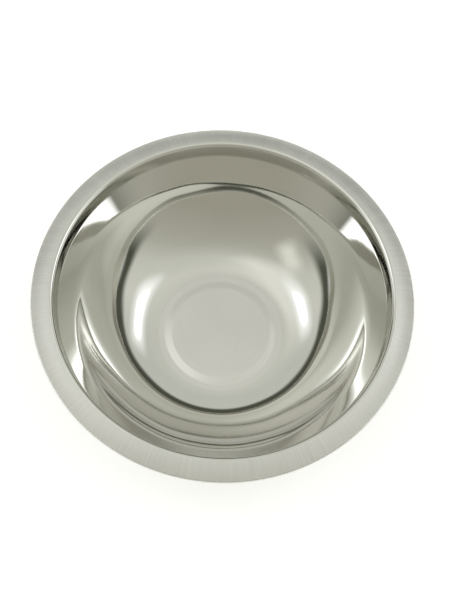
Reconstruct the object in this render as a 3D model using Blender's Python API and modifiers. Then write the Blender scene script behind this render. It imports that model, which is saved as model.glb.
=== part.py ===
"""A 30 cm stainless-steel mixing bowl, pressed and spun from one disc of sheet.

The bowl is turned about the Z axis and stands on z = 0, in metres. One path runs along the
inner, upper face of the sheet: out from the middle of the floor, up the wall, over the rim and
round the rolled edge. The other face is the same path offset by the sheet's thickness.
"""

import math

import bpy

MM = 0.001

# The sheet
SHEET = 0.8 * MM
TURN_STEPS = 64

# The floor: a raised disc inside a flat ring that the bowl stands on
DISC_RADIUS = 39.5 * MM
FOOT_INNER_RADIUS = 46.0 * MM
FOOT_OUTER_RADIUS = 50.5 * MM
STEP_SLOPE = 11.0
STEP_CORNER = 4.0 * MM

# The wall: its slope in degrees where it reaches each radius, with a round stretch between.
# It is steepest a little below the rim and flares slightly from there to its edge.
WALL_STATIONS = (
    (69.6 * MM, 23.5),
    (81.0 * MM, 35.2),
    (91.7 * MM, 42.9),
    (103.0 * MM, 49.3),
    (113.7 * MM, 57.0),
    (119.0 * MM, 51.5),
)
WALL_STEPS = 2
WALL_EDGE_RADIUS = 129.2 * MM

# The shoulder: a small step outwards where the rim begins
SHOULDER_SLOPE = 45.0
SHOULDER_CORNER = 1.6 * MM
COLLAR_SLOPE = 80.0
COLLAR_HEIGHT = 10.5 * MM

# The rim: a crest, a lip that falls outwards and a rolled edge
RIM_RADIUS = 150.0 * MM
CREST_CORNER = 2.8 * MM
LIP_SLOPE_IN = -14.0
LIP_SLOPE_OUT = -32.0
ROLL_RADIUS = 2.2 * MM
ROLL_SLOPES = (-90.0, -180.0, -260.0)


def clear_scene():
    for thing in list(bpy.data.objects):
        bpy.data.objects.remove(thing, do_unlink=True)


class SheetPath:
    """Points along one face of the sheet, each with the slope that the face has there."""

    def __init__(self, radius, height):
        self.points = [(radius, height, 0.0)]

    def line_to_radius(self, radius):
        old_radius, height, slope = self.points[-1]
        rise = (radius - old_radius) * math.tan(math.radians(slope))
        self.points.append((radius, height + rise, slope))

    def line_up(self, rise):
        radius, height, slope = self.points[-1]
        run = rise / math.tan(math.radians(slope))
        self.points.append((radius + run, height + rise, slope))

    def bend(self, corner, new_slope, steps):
        """A round stretch with the given radius, until the face has the new slope."""
        radius, height, slope = self.points[-1]
        side = 1.0 if new_slope > slope else -1.0
        start = math.radians(slope)
        for step in range(1, steps + 1):
            now = slope + (new_slope - slope) * step / steps
            angle = math.radians(now)
            run = side * corner * (math.sin(angle) - math.sin(start))
            rise = side * corner * (math.cos(start) - math.cos(angle))
            self.points.append((radius + run, height + rise, now))

    def bend_to_radius(self, new_radius, new_slope, steps):
        """A round stretch that has the new slope when it reaches the new radius."""
        radius, _, slope = self.points[-1]
        turned = math.sin(math.radians(new_slope)) - math.sin(math.radians(slope))
        self.bend(abs((new_radius - radius) / turned), new_slope, steps)


def floor_path():
    path = SheetPath(0.0, SHEET + step_height())
    path.line_to_radius(DISC_RADIUS)
    path.bend(STEP_CORNER, -STEP_SLOPE, 1)
    path.line_to_radius(FOOT_INNER_RADIUS - step_corner_run())
    path.bend(STEP_CORNER, 0.0, 1)
    path.line_to_radius(FOOT_OUTER_RADIUS)
    return path


def step_corner_run():
    return STEP_CORNER * math.sin(math.radians(STEP_SLOPE))


def step_height():
    """How far the disc stands above the foot ring: two round corners and the cone between."""
    slope = math.radians(STEP_SLOPE)
    cone = FOOT_INNER_RADIUS - DISC_RADIUS - 2 * step_corner_run()
    return 2 * STEP_CORNER * (1 - math.cos(slope)) + cone * math.tan(slope)


def add_wall(path):
    for radius, slope in WALL_STATIONS:
        path.bend_to_radius(radius, slope, WALL_STEPS)
    path.line_to_radius(WALL_EDGE_RADIUS)


def add_rim(path):
    path.bend(SHOULDER_CORNER, SHOULDER_SLOPE, 1)
    path.bend(SHOULDER_CORNER, COLLAR_SLOPE, 1)
    path.line_up(COLLAR_HEIGHT)
    path.bend(CREST_CORNER, LIP_SLOPE_IN, 4)
    lip_end = RIM_RADIUS - ROLL_RADIUS * (1 + math.sin(math.radians(LIP_SLOPE_OUT)))
    path.bend_to_radius(lip_end, LIP_SLOPE_OUT, 2)
    for slope in ROLL_SLOPES:
        path.bend(ROLL_RADIUS, slope, 2)


def sheet_profile():
    """The section of the sheet: the upper face outwards, then the under face back to the axis."""
    path = floor_path()
    add_wall(path)
    add_rim(path)
    upper = [(radius, height) for radius, height, _ in path.points]
    under = []
    for radius, height, slope in reversed(path.points):
        angle = math.radians(slope)
        under.append((radius + SHEET * math.sin(angle), height - SHEET * math.cos(angle)))
    return upper + under


def stainless_steel():
    material = bpy.data.materials.new("stainless_steel")
    material.use_nodes = True
    shader = material.node_tree.nodes["Principled BSDF"]
    shader.inputs["Base Color"].default_value = (0.56, 0.55, 0.50, 1.0)
    shader.inputs["Metallic"].default_value = 1.0
    shader.inputs["Roughness"].default_value = 0.16
    return material


def bowl_shell(collection):
    profile = sheet_profile()
    mesh = bpy.data.meshes.new("bowl_shell")
    vertices = [(radius, 0.0, height) for radius, height in profile]
    edges = [(index, index + 1) for index in range(len(vertices) - 1)]
    mesh.from_pydata(vertices, edges, [])
    mesh.materials.append(stainless_steel())
    shell = bpy.data.objects.new("bowl_shell", mesh)
    collection.objects.link(shell)
    screw = shell.modifiers.new("turned", "SCREW")
    screw.axis = "Z"
    screw.steps = TURN_STEPS
    screw.render_steps = TURN_STEPS
    screw.use_merge_vertices = True
    screw.merge_threshold = 0.00001
    screw.use_smooth_shade = True
    return shell


def main():
    clear_scene()
    collection = bpy.data.collections.new("mixing_bowl")
    bpy.context.scene.collection.children.link(collection)
    bowl_shell(collection)


main()
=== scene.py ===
"""The looks of the mixing bowl: a finely turned shell in place of the CAD node, polished and satin
steel, a pale floor and a plain studio. Metres, +Z up, in the frame of the CAD model."""

import math

import bpy
import numpy as np
from mathutils import Matrix, Vector


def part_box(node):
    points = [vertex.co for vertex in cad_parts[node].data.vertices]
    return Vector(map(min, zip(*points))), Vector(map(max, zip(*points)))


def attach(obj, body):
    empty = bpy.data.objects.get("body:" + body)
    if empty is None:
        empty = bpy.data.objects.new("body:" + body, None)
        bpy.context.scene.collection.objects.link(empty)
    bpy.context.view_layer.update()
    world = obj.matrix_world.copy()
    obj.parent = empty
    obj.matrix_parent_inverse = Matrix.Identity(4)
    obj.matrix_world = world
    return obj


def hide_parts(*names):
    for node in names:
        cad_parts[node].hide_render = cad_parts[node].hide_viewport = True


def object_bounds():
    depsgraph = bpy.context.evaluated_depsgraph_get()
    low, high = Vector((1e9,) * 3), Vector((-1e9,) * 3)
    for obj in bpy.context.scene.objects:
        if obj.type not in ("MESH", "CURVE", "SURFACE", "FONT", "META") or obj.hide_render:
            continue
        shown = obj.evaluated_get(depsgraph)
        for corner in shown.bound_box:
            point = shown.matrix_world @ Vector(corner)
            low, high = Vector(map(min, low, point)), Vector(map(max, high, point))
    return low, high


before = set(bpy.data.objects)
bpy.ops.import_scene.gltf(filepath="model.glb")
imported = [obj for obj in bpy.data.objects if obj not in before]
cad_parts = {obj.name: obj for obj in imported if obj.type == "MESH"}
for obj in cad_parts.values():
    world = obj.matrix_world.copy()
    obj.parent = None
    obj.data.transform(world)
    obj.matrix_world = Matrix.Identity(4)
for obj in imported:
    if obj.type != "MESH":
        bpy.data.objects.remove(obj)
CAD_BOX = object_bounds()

MM = 0.001

# The section of the sheet, as in the CAD model
SHEET = 0.8 * MM
DISC_RADIUS = 39.5 * MM
FOOT_INNER_RADIUS = 46.0 * MM
FOOT_OUTER_RADIUS = 50.5 * MM
STEP_SLOPE = 11.0
STEP_CORNER = 4.0 * MM
WALL_STATIONS = (
    (69.6 * MM, 23.5),
    (81.0 * MM, 35.2),
    (91.7 * MM, 42.9),
    (103.0 * MM, 49.3),
    (113.7 * MM, 57.0),
    (119.0 * MM, 51.5),
)
WALL_EDGE_RADIUS = 129.2 * MM
SHOULDER_SLOPE = 45.0
SHOULDER_CORNER = 1.6 * MM
COLLAR_SLOPE = 80.0
COLLAR_HEIGHT = 10.5 * MM
RIM_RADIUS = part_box("bowl_shell")[1].x
CREST_CORNER = 2.8 * MM
LIP_SLOPE_IN = -14.0
LIP_SLOPE_OUT = -32.0
ROLL_RADIUS = 2.2 * MM
ROLL_SLOPE_SIDE = -90.0
ROLL_SLOPE_END = -260.0

# How finely the shell is cut: steps round the axis, the longest strip of the section where it is
# flat and where it is curved, the most degrees that one strip turns, and how many strips of the
# upper face lie over one of the under face
AROUND = 272
FLAT_STRIP = 5.0 * MM
CURVED_STRIP = 1.15 * MM
BEND_STRIP = 4.0
UNDER_FACE_EVERY = 2

# Finishes, in the order of the shell's material slots; the collar's carries painted shade
FLOOR_FINISH, WALL_FINISH, COLLAR_PAINTED_SHADE, LIP_FINISH, ROLL_FINISH, OUTSIDE_FINISH = range(6)

# The camera: lens in mm, angles in degrees, distance and offsets in rim radii
SENSOR_WIDTH = 36.0
CLIP_END = 50.0
LENS = 91.05
ELEVATION = 66.44
DISTANCE = 7.8977
OFFSET_RIGHT = 0.0112
OFFSET_UP = -0.0089
ROLL = 4.77


class SheetPath:
    """Points along the upper face of the sheet, each with its slope and the finish before it."""

    def __init__(self, radius, height, finish):
        self.points = [(radius, height, 0.0, finish)]
        self.finish = finish

    def line(self, run, rise, strip):
        radius, height, slope, _ = self.points[-1]
        pieces = max(1, math.ceil(math.hypot(run, rise) / strip))
        for piece in range(1, pieces + 1):
            share = piece / pieces
            self.points.append((radius + run * share, height + rise * share, slope, self.finish))

    def line_to_radius(self, radius, strip=FLAT_STRIP):
        run = radius - self.points[-1][0]
        self.line(run, run * math.tan(math.radians(self.points[-1][2])), strip)

    def line_up(self, rise, strip=CURVED_STRIP):
        self.line(rise / math.tan(math.radians(self.points[-1][2])), rise, strip)

    def bend(self, corner, new_slope):
        radius, height, slope, _ = self.points[-1]
        side = 1.0 if new_slope > slope else -1.0
        turn = abs(new_slope - slope)
        length = corner * math.radians(turn)
        pieces = max(math.ceil(turn / BEND_STRIP), math.ceil(length / CURVED_STRIP))
        start = math.radians(slope)
        for piece in range(1, pieces + 1):
            now = slope + (new_slope - slope) * piece / pieces
            angle = math.radians(now)
            run = side * corner * (math.sin(angle) - math.sin(start))
            rise = side * corner * (math.cos(start) - math.cos(angle))
            self.points.append((radius + run, height + rise, now, self.finish))

    def bend_to_radius(self, new_radius, new_slope):
        radius, _, slope, _ = self.points[-1]
        turned = math.sin(math.radians(new_slope)) - math.sin(math.radians(slope))
        self.bend(abs((new_radius - radius) / turned), new_slope)


def sheet_path():
    slope = math.radians(STEP_SLOPE)
    corner_run = STEP_CORNER * math.sin(slope)
    cone = FOOT_INNER_RADIUS - DISC_RADIUS - 2 * corner_run
    step_height = 2 * STEP_CORNER * (1 - math.cos(slope)) + cone * math.tan(slope)
    path = SheetPath(0.0, SHEET + step_height, FLOOR_FINISH)
    path.line_to_radius(DISC_RADIUS)
    path.bend(STEP_CORNER, -STEP_SLOPE)
    path.line_to_radius(FOOT_INNER_RADIUS - corner_run, CURVED_STRIP)
    path.bend(STEP_CORNER, 0.0)
    path.line_to_radius(FOOT_OUTER_RADIUS, CURVED_STRIP)
    path.finish = WALL_FINISH
    for radius, wall_slope in WALL_STATIONS:
        path.bend_to_radius(radius, wall_slope)
    path.line_to_radius(WALL_EDGE_RADIUS, CURVED_STRIP)
    # The collar band takes the finish whose darker colour is painted shade
    path.finish = COLLAR_PAINTED_SHADE
    path.bend(SHOULDER_CORNER, SHOULDER_SLOPE)
    path.bend(SHOULDER_CORNER, COLLAR_SLOPE)
    path.line_up(COLLAR_HEIGHT)
    path.finish = WALL_FINISH
    path.bend(CREST_CORNER, LIP_SLOPE_IN)
    path.finish = LIP_FINISH
    lip_end = RIM_RADIUS - ROLL_RADIUS * (1 + math.sin(math.radians(LIP_SLOPE_OUT)))
    path.bend_to_radius(lip_end, LIP_SLOPE_OUT)
    path.finish = ROLL_FINISH
    path.bend(ROLL_RADIUS, ROLL_SLOPE_SIDE)
    path.bend(ROLL_RADIUS, ROLL_SLOPE_END)
    return path


def shell_section():
    """Radius, height and finish round the closed section: upper face out, under face back."""
    upper = sheet_path().points
    section = [(radius, height, finish) for radius, height, _, finish in upper]
    back = list(reversed(upper))
    kept = back[:-1:UNDER_FACE_EVERY] + [back[-1]]
    for radius, height, slope, _ in kept:
        angle = math.radians(slope)
        under = (radius + SHEET * math.sin(angle), height - SHEET * math.cos(angle))
        section.append((*under, OUTSIDE_FINISH))
    return section


def turned_mesh(name, section):
    """A closed mesh of revolution whose section starts and ends on the axis."""
    rings = section[1:-1]
    angles = np.linspace(0.0, 2 * math.pi, AROUND, endpoint=False)
    radii = np.array([ring[0] for ring in rings])
    heights = np.array([ring[1] for ring in rings])
    grid = np.empty((len(rings), AROUND, 3))
    grid[:, :, 0] = radii[:, None] * np.cos(angles)
    grid[:, :, 1] = radii[:, None] * np.sin(angles)
    grid[:, :, 2] = heights[:, None]
    first, last = len(rings) * AROUND, len(rings) * AROUND + 1
    points = np.concatenate([grid.reshape(-1, 3), [(0, 0, section[0][1]), (0, 0, section[-1][1])]])
    faces, finishes = [], []
    for step in range(AROUND):
        after = (step + 1) % AROUND
        faces.append((first, step, after))
        finishes.append(rings[0][2])
    for ring in range(len(rings) - 1):
        for step in range(AROUND):
            after = (step + 1) % AROUND
            low, high = ring * AROUND, (ring + 1) * AROUND
            faces.append((low + step, high + step, high + after, low + after))
            finishes.append(rings[ring + 1][2])
    base = (len(rings) - 1) * AROUND
    for step in range(AROUND):
        after = (step + 1) % AROUND
        faces.append((last, base + after, base + step))
        finishes.append(section[-1][2])
    mesh = bpy.data.meshes.new(name)
    mesh.from_pydata(points.tolist(), [], faces)
    mesh.polygons.foreach_set("material_index", finishes)
    mesh.polygons.foreach_set("use_smooth", [True] * len(faces))
    mesh.update()
    return mesh


class Graph:
    """Short calls for making nodes: a value in inputs is a number, a tuple or another socket."""

    def __init__(self, tree):
        self.tree = tree
        tree.nodes.clear()

    def node(self, kind, inputs=None, **settings):
        node = self.tree.nodes.new(kind)
        for name, value in settings.items():
            setattr(node, name, value)
        for key, value in (inputs or {}).items():
            if isinstance(value, bpy.types.NodeSocket):
                self.tree.links.new(value, node.inputs[key])
            else:
                node.inputs[key].default_value = value
        return node

    def math(self, operation, first, second=0.0):
        return self.node("ShaderNodeMath", {0: first, 1: second}, operation=operation).outputs[0]

    def add(self, first, second):
        return self.math("ADD", first, second)

    def times(self, first, second):
        return self.math("MULTIPLY", first, second)

    def dot(self, vector, axis):
        return self.node(
            "ShaderNodeVectorMath", {0: vector, 1: tuple(axis)}, operation="DOT_PRODUCT"
        ).outputs["Value"]

    def ease(self, value, low, high, to_low=0.0, to_high=1.0):
        return self.node(
            "ShaderNodeMapRange",
            {
                "Value": value,
                "From Min": low,
                "From Max": high,
                "To Min": to_low,
                "To Max": to_high,
            },
            interpolation_type="SMOOTHSTEP",
        ).outputs["Result"]

    def ramp(self, value, stops):
        """stops: (position, colour) from low to high."""
        node = self.node("ShaderNodeValToRGB", {"Fac": value})
        elements = node.color_ramp.elements
        elements[0].position, elements[0].color = stops[0][0], (*stops[0][1], 1.0)
        elements[1].position, elements[1].color = stops[-1][0], (*stops[-1][1], 1.0)
        for position, colour in stops[1:-1]:
            elements.new(position).color = (*colour, 1.0)
        return node.outputs["Color"]

    def mix(self, factor, first, second, blend="MIX"):
        node = self.node("ShaderNodeMix", data_type="RGBA", blend_type=blend)
        for key, value in ((0, factor), (6, first), (7, second)):
            if isinstance(value, bpy.types.NodeSocket):
                self.tree.links.new(value, node.inputs[key])
            else:
                node.inputs[key].default_value = value if key == 0 else (*value, 1.0)
        return node.outputs[2]

    def noise(self, vector, scale, detail=2.0, roughness=0.5):
        return self.node(
            "ShaderNodeTexNoise",
            {"Vector": vector, "Scale": scale, "Detail": detail, "Roughness": roughness},
        ).outputs["Fac"]


# The middle part of a noise's range, which lines and patches are spread over
NOISE_LOW, NOISE_HIGH = 0.3, 0.7
# Patches of slightly duller steel, and shallow waves in the sheet. Scales are per metre
PATCH_SCALE = 14.0
PATCH_LOW, PATCH_HIGH = 0.35, 0.65
PATCH_TINT = 0.97
DENT_SCALE = 16.0
# How much the lines darken the steel, as a multiple of their share of the roughness
LINE_TINT = 1.6
# Keeps a division from a zero on the axis
NEAR_AXIS = 0.0001


def round_coordinates(graph, around, along):
    """Coordinates that go round with the bowl: around in features per radian, along per metre."""
    place = graph.node("ShaderNodeTexCoord").outputs["Object"]
    parts = graph.node("ShaderNodeSeparateXYZ", {0: place})
    x, y, z = parts.outputs[0], parts.outputs[1], parts.outputs[2]
    radius = graph.math("SQRT", graph.add(graph.times(x, x), graph.times(y, y)))
    safe = graph.math("MAXIMUM", radius, NEAR_AXIS)
    along_path = graph.times(graph.add(radius, z), along)
    return graph.node(
        "ShaderNodeCombineXYZ",
        {
            "X": graph.times(graph.math("DIVIDE", x, safe), around),
            "Y": graph.times(graph.math("DIVIDE", y, safe), around),
            "Z": along_path,
        },
    ).outputs[0]


def steel(name, colour, roughness, grain, anisotropy=0.0, smudge=0.03, dents=0.0, metallic=1.0):
    """Polished or brushed steel.

    grain: features round the bowl, features along the section, height of the lines in metres and
    their share of the roughness. smudge is the patches' share of it, dents the height of the waves.
    """
    material = bpy.data.materials.new(name)
    material.use_nodes = True
    graph = Graph(material.node_tree)
    around, along, height, spread = grain
    lines = graph.noise(round_coordinates(graph, around, along), 1.0, 3.0, 0.6)
    place = graph.node("ShaderNodeTexCoord").outputs["Object"]
    patches = graph.noise(place, PATCH_SCALE, 3.0, 0.55)
    rough = graph.add(
        graph.ease(patches, NOISE_LOW, NOISE_HIGH, roughness - smudge, roughness + smudge),
        graph.ease(lines, NOISE_LOW, NOISE_HIGH, -spread, spread),
    )
    dull = tuple(PATCH_TINT * channel for channel in colour)
    tint = graph.mix(graph.ease(patches, PATCH_LOW, PATCH_HIGH), dull, colour)
    groove = (1.0 - LINE_TINT * spread,) * 3
    shade = graph.mix(graph.ease(lines, NOISE_LOW, NOISE_HIGH), groove, (1.0,) * 3)
    tint = graph.mix(1.0, tint, shade, "MULTIPLY")
    bump = graph.node("ShaderNodeBump", {"Strength": 1.0, "Distance": height, "Height": lines})
    normal = bump.outputs["Normal"]
    if dents:
        waves = graph.noise(place, DENT_SCALE, 1.0, 0.4)
        wide = graph.node(
            "ShaderNodeBump",
            {"Strength": 1.0, "Distance": dents, "Height": waves, "Normal": normal},
        )
        normal = wide.outputs["Normal"]
    shader = graph.node(
        "ShaderNodeBsdfPrincipled",
        {
            "Base Color": tint,
            "Metallic": metallic,
            "Roughness": rough,
            "Anisotropic": anisotropy,
            "Normal": normal,
        },
    )
    if anisotropy:
        tangent = graph.node("ShaderNodeTangent", direction_type="RADIAL", axis="Z")
        graph.tree.links.new(tangent.outputs[0], shader.inputs["Tangent"])
    output = graph.node("ShaderNodeOutputMaterial")
    graph.tree.links.new(shader.outputs[0], output.inputs["Surface"])
    return material


DENTS = 0.0008


def finishes():
    """The six finishes, in the order of the shell's material slots. The collar's colour is darkened
    as painted shade.
    """
    floor = steel(
        "floor_steel",
        (0.79, 0.78, 0.755),
        0.14,
        (3.0, 1500.0, 0.000002, 0.02),
        dents=DENTS,
    )
    wall = steel(
        "wall_steel",
        (0.755, 0.755, 0.72),
        0.045,
        (2.0, 900.0, 0.000003, 0.01),
        smudge=0.015,
        dents=DENTS,
    )
    # Painted shade: the collar's colour, well below the wall's, deepens the dark band round the top
    # of the wall
    collar_painted_shade = steel(
        "collar_steel_painted_shade",
        (0.58, 0.575, 0.53),
        0.07,
        (2.0, 900.0, 0.000003, 0.02),
        smudge=0.02,
        dents=DENTS,
    )
    lip = steel(
        "lip_steel",
        (0.785, 0.785, 0.755),
        0.40,
        (230.0, 25.0, 0.00004, 0.06),
        anisotropy=0.5,
        metallic=0.42,
    )
    roll = steel(
        "roll_steel",
        (0.78, 0.78, 0.755),
        0.26,
        (200.0, 40.0, 0.000003, 0.03),
        metallic=0.75,
    )
    outside = steel(
        "outside_steel",
        (0.52, 0.515, 0.485),
        0.23,
        (2.0, 1200.0, 0.000005, 0.03),
        anisotropy=0.3,
    )
    return floor, wall, collar_painted_shade, lip, roll, outside


def bowl():
    mesh = turned_mesh("bowl", shell_section())
    for material in finishes():
        mesh.materials.append(material)
    piece = bpy.data.objects.new("bowl", mesh)
    bpy.context.scene.collection.objects.link(piece)
    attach(piece, "root")
    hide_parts("bowl_shell")


# The studio dome, flattened: 0, 0 is overhead, a distance of 1 is the horizon, +Y is behind
CEILING_LIGHT = (
    (-0.95, (0.42, 0.405, 0.335)),
    (-0.78, (0.40, 0.385, 0.315)),
    (-0.55, (0.46, 0.45, 0.39)),
    (-0.40, (0.52, 0.52, 0.455)),
    (-0.20, (0.68, 0.685, 0.62)),
    (0.08, (0.76, 0.76, 0.70)),
    (0.40, (0.64, 0.645, 0.59)),
    (0.90, (0.66, 0.665, 0.61)),
)
# Panels on the dome. Middle x, y; half size x, y; turn in degrees; soft edge; colour
GLOWS = (
    (-0.28, 0.00, 0.10, 0.12, 0.0, 0.22, (0.94, 0.94, 0.88)),
    (-0.50, -0.36, 0.01, 0.05, 12.0, 0.15, (0.88, 0.88, 0.80)),
)
SOFT_BOXES = (
    (-0.45, 0.08, 0.02, 0.08, 0.0, 0.17, (1.28, 1.31, 1.29)),
    (-0.45, 0.08, 0.01, 0.05, 0.0, 0.09, (2.6, 2.6, 2.6)),
    (0.42, 0.18, 0.02, 0.12, 10.0, 0.17, (1.28, 1.31, 1.29)),
    (0.42, 0.20, 0.01, 0.08, 10.0, 0.09, (2.6, 2.6, 2.6)),
    (-0.93, 0.04, 0.06, 0.38, 0.0, 0.06, (1.7, 1.7, 1.7)),
    (0.93, 0.04, 0.06, 0.38, 0.0, 0.06, (1.7, 1.7, 1.7)),
)
# The dark surroundings begin outside a circle of the dome and fade out towards the front
DARK_FRONT_FROM, DARK_FRONT_TO = -0.6, -0.2
DARK_SURROUNDINGS = (0.085, 0.09, 0.07)
DARK_MIDDLE = -0.08
DARK_FROM = 0.725
DARK_TO = 0.79
BACKDROP = (1.0, 1.0, 1.0)


def flat_dome(graph, toward):
    """Where a direction lies on the flattened dome."""
    up = graph.dot(toward, (0, 0, 1))
    height = graph.math("MINIMUM", graph.math("MAXIMUM", up, -1.0), 1.0)
    from_top = graph.times(graph.math("ARCCOSINE", height), 2.0 / math.pi)
    x, y = graph.dot(toward, (1, 0, 0)), graph.dot(toward, (0, 1, 0))
    level = graph.math("SQRT", graph.add(graph.times(x, x), graph.times(y, y)))
    share = graph.math("DIVIDE", from_top, graph.math("MAXIMUM", level, NEAR_AXIS))
    return graph.times(x, share), graph.times(y, share)


def soft_panel(graph, place, panel):
    """1 inside a rounded panel of the dome, fading to 0 over its soft edge."""
    x, y = place
    middle_x, middle_y, half_x, half_y, turn, edge, _ = panel
    cos, sin = math.cos(math.radians(turn)), math.sin(math.radians(turn))
    across = graph.add(graph.times(x, cos), graph.times(y, sin))
    along = graph.add(graph.times(y, cos), graph.times(x, -sin))
    off = []
    for value, middle, half in (
        (across, middle_x * cos + middle_y * sin, half_x),
        (along, middle_y * cos - middle_x * sin, half_y),
    ):
        beyond = graph.add(graph.math("ABSOLUTE", graph.add(value, -middle)), -half)
        beyond = graph.math("MAXIMUM", beyond, 0.0)
        off.append(graph.times(beyond, beyond))
    return graph.ease(graph.math("SQRT", graph.add(*off)), 0.0, edge, 1.0, 0.0)


def studio_light():
    world = bpy.data.worlds.new("studio")
    bpy.context.scene.world = world
    world.use_nodes = True
    graph = Graph(world.node_tree)
    toward = graph.node("ShaderNodeTexCoord").outputs["Generated"]
    x, y = flat_dome(graph, toward)
    stops = [((place + 1.0) / 2.0, colour) for place, colour in CEILING_LIGHT]
    light = graph.ramp(graph.times(graph.add(y, 1.0), 0.5), stops)
    for panel in GLOWS:
        light = graph.mix(soft_panel(graph, (x, y), panel), light, panel[-1])
    up = graph.add(y, -DARK_MIDDLE)
    out = graph.math("SQRT", graph.add(graph.times(x, x), graph.times(up, up)))
    outside = graph.ease(out, DARK_FROM, DARK_TO)
    behind = graph.ease(y, DARK_FRONT_FROM, DARK_FRONT_TO)
    dark = graph.times(outside, behind)
    light = graph.mix(dark, light, DARK_SURROUNDINGS)
    for panel in SOFT_BOXES:
        light = graph.mix(soft_panel(graph, (x, y), panel), light, panel[-1])
    seen = graph.node("ShaderNodeLightPath").outputs["Is Camera Ray"]
    shown = graph.mix(seen, light, BACKDROP)
    background = graph.node("ShaderNodeBackground", {"Color": shown})
    output = graph.node("ShaderNodeOutputWorld")
    graph.tree.links.new(background.outputs[0], output.inputs["Surface"])


FLOOR_HALF = 6.0
FLOOR_GAP = 0.2 * MM
FLOOR_COLOUR = (0.86, 0.86, 0.85, 1.0)
FLOOR_ROUGHNESS = 0.6
FLOOR_GLOW = 0.55


def pale_floor():
    """A wide floor just under the bowl, with a slight glow that keeps it white."""
    level = CAD_BOX[0][2] - FLOOR_GAP
    corners = [
        (-FLOOR_HALF, -FLOOR_HALF, level),
        (FLOOR_HALF, -FLOOR_HALF, level),
        (FLOOR_HALF, FLOOR_HALF, level),
        (-FLOOR_HALF, FLOOR_HALF, level),
    ]
    mesh = bpy.data.meshes.new("floor")
    mesh.from_pydata(corners, [], [(0, 1, 2, 3)])
    material = bpy.data.materials.new("floor_white")
    material.use_nodes = True
    shader = material.node_tree.nodes["Principled BSDF"]
    shader.inputs["Base Color"].default_value = FLOOR_COLOUR
    shader.inputs["Roughness"].default_value = FLOOR_ROUGHNESS
    shader.inputs["Emission Color"].default_value = (1.0, 1.0, 1.0, 1.0)
    shader.inputs["Emission Strength"].default_value = FLOOR_GLOW
    mesh.materials.append(material)
    floor = bpy.data.objects.new("floor", mesh)
    bpy.context.scene.collection.objects.link(floor)


def camera():
    """Above and in front of the bowl, turned a little about its own axis."""
    elevation = math.radians(ELEVATION)
    back = Vector((0.0, -math.cos(elevation), math.sin(elevation)))
    right = Vector((1.0, 0.0, 0.0))
    up = Vector((0.0, math.sin(elevation), math.cos(elevation)))
    edge_height = edge_middle_height()
    place = Vector((0.0, 0.0, edge_height)) + RIM_RADIUS * (
        DISTANCE * back + OFFSET_RIGHT * right + OFFSET_UP * up
    )
    turn = math.radians(ROLL)
    turned_right = right * math.cos(turn) + up * math.sin(turn)
    turned_up = up * math.cos(turn) - right * math.sin(turn)
    data = bpy.data.cameras.new("camera")
    data.lens = LENS
    data.sensor_width = SENSOR_WIDTH
    data.clip_end = CLIP_END
    seen_from = bpy.data.objects.new("camera", data)
    axes = Matrix((turned_right, turned_up, back)).transposed()
    seen_from.matrix_world = Matrix.Translation(place) @ axes.to_4x4()
    bpy.context.scene.collection.objects.link(seen_from)
    bpy.context.scene.camera = seen_from


def edge_middle_height():
    """The height at which the rolled edge is widest."""
    return max(sheet_path().points)[1]


bowl()
pale_floor()
studio_light()
camera()
bpy.context.scene.view_settings.view_transform = "Standard"
